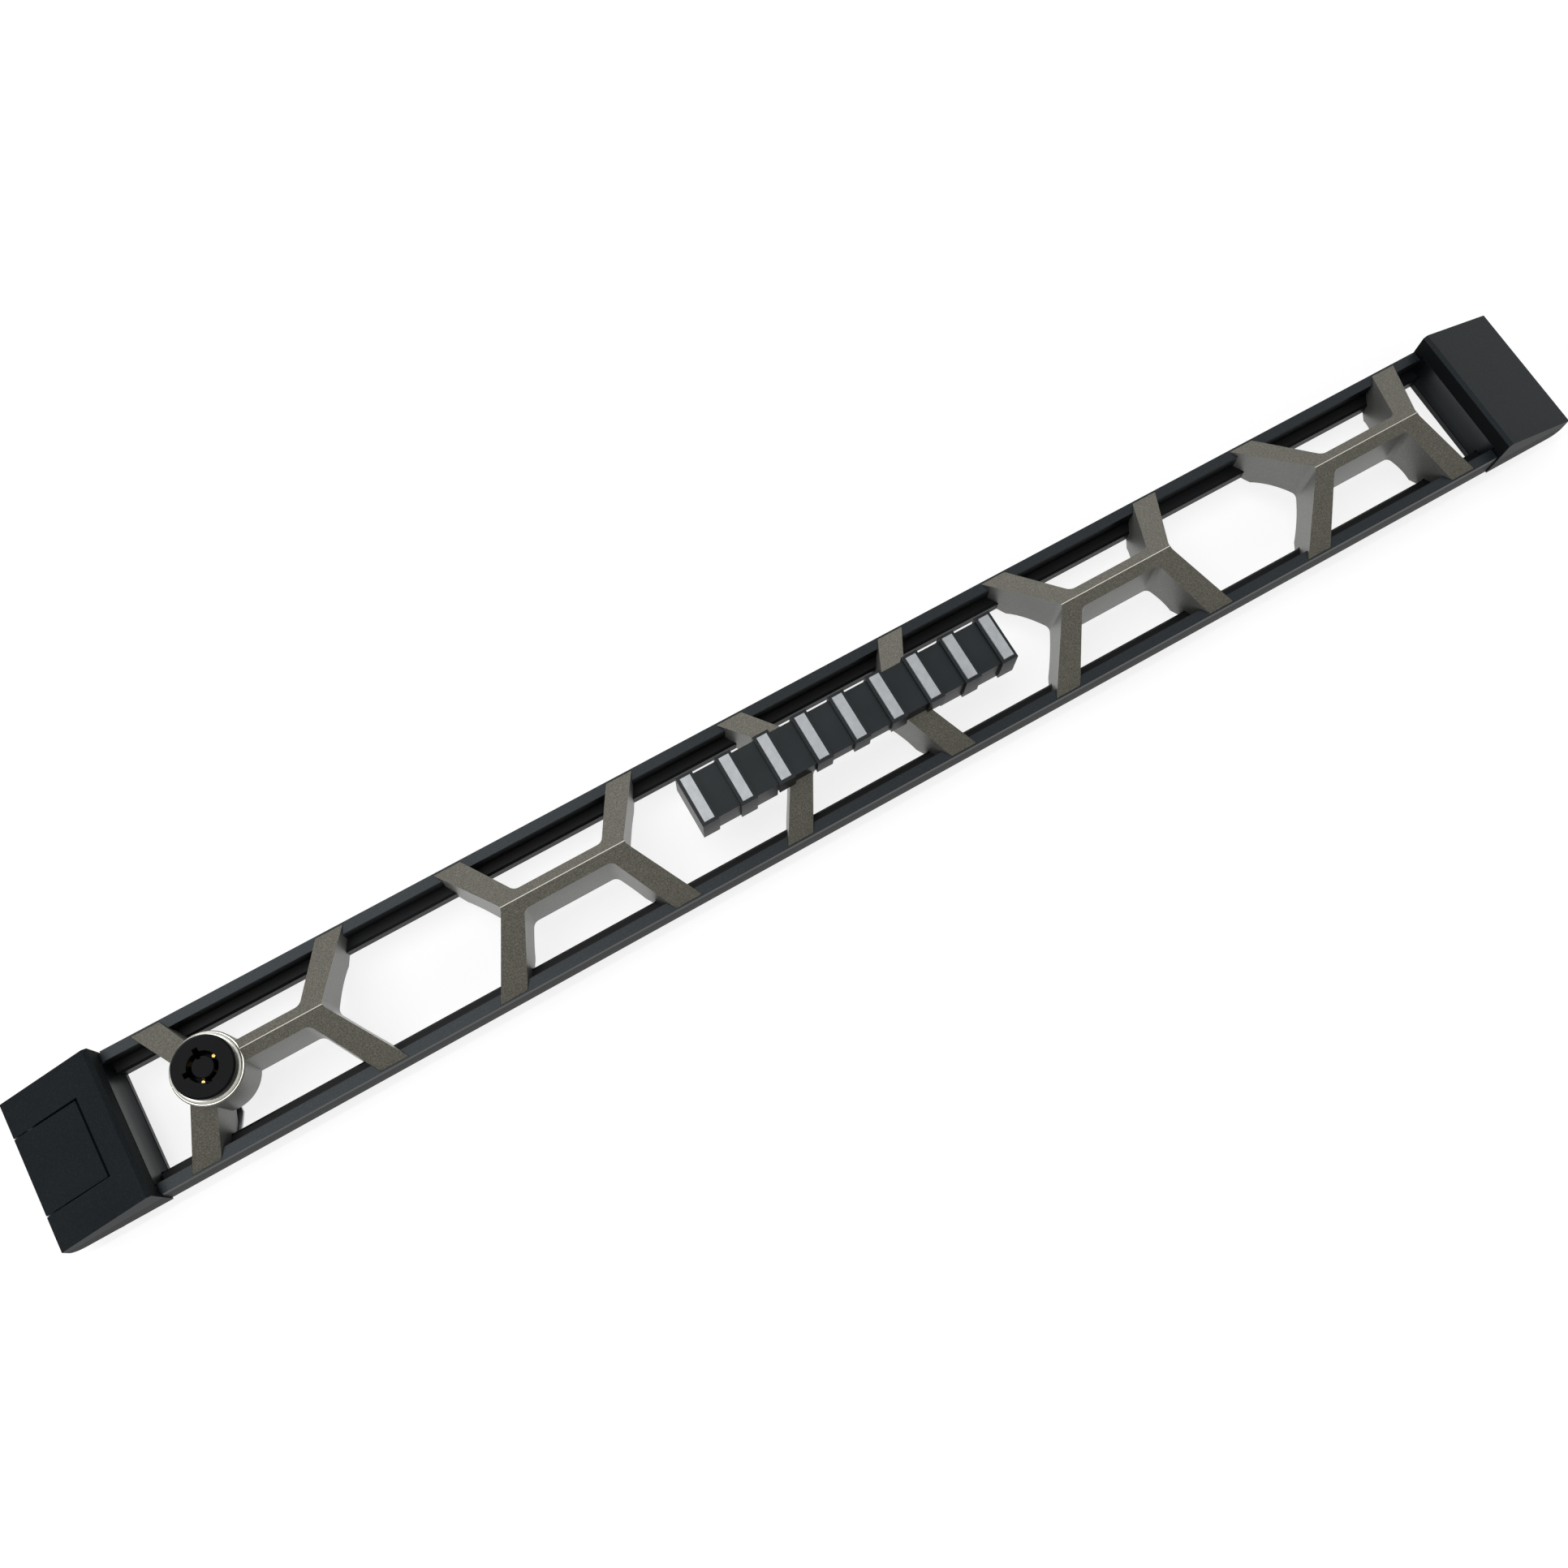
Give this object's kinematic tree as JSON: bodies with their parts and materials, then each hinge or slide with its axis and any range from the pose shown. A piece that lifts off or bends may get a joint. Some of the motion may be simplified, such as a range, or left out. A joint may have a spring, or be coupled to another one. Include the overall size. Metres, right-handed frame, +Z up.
{
  "type": "server front bezel",
  "caption": "Lockable front bezel for a one-unit rack server: dark frame with faceted hexagon lattice, sloping end caps, push-button latch and tubular lock.",
  "frame": {"origin": "middle of the bezel's width and depth, on the surface it stands on (the lower edge of the end caps)", "axes": "+X to the right as seen from the front, +Y to the back (towards the server), +Z up as installed in the rack"},
  "size_m": [0.482, 0.0312, 0.0421],
  "materials": {
    "bronze_paint": "fine bronze metallic paint",
    "black_plastic": "satin, slate black",
    "grey_plastic": "satin, dark grey",
    "cap_plastic": "fine texture, satin",
    "badge_black": "semi-gloss",
    "badge_silver": "satin with polished bevels",
    "lock_black": "gloss black",
    "collar_chrome": "polished",
    "pin_brass": "polished",
    "zinc_steel": "zinc plated",
    "spring_steel": "bright wire"
  },
  "bodies": {
    "frame": {"front_frame": "black_plastic", "rear_frame": "grey_plastic", "lock_strut": "bronze_paint", "strut_2": "bronze_paint", "strut_3": "bronze_paint", "strut_4": "bronze_paint", "strut_5": "bronze_paint", "strut_screws": "zinc_steel", "left_end_cap": "cap_plastic", "right_end_cap": "cap_plastic", "cap_screws": "zinc_steel", "button_pin": "zinc_steel", "button_spring": "spring_steel", "latch_spring": "spring_steel", "latch_cover": "black_plastic", "hook_plate": "zinc_steel", "hook_screws": "zinc_steel", "badge_carrier": "badge_black", "badge_bars": "badge_silver", "badge_screws": "zinc_steel", "lock_barrel": "lock_black", "lock_collar": "collar_chrome", "lock_nut": "zinc_steel", "bar_screws": "zinc_steel"},
    "button": {"release_button": "cap_plastic"},
    "latch": {"latch_slider": "black_plastic"},
    "lock_core": {"lock_post": "lock_black", "lock_pins": "pin_brass", "lock_cam": "zinc_steel", "cam_screw": "zinc_steel"},
    "bar": {"locking_bar": "zinc_steel"}
  },
  "joints": [
    {"name": "button_press", "type": "hinge", "parent": "frame", "child": "button", "pos_m": [-0.2192, -0.0006, 0.02105], "axis": [0, 0, -1], "range_deg": [0, 6], "stiffness_Nm_per_rad": 0.35, "springref_deg": -3.44, "deforming": ["button_spring"]},
    {"name": "latch_slide", "type": "slide", "parent": "frame", "child": "latch", "axis": [1, 0, 0], "range_m": [0, 0.0019], "deforming": ["latch_spring"]},
    {"name": "lock_turn", "type": "hinge", "parent": "frame", "child": "lock_core", "pos_m": [-0.1883, -0.0126, 0.02105], "axis": [0, -1, 0], "range_deg": [0, 90]},
    {"name": "bar_slide", "type": "slide", "parent": "frame", "child": "bar", "axis": [1, 0, 0], "range_m": [0, 0.00849]}
  ],
  "couplings": [
    {"joint": "latch_slide", "follows": "button_press", "m_per_rad": 0.018143},
    {"joint": "bar_slide", "follows": "lock_turn", "m_per_rad": 0.005402}
  ]
}
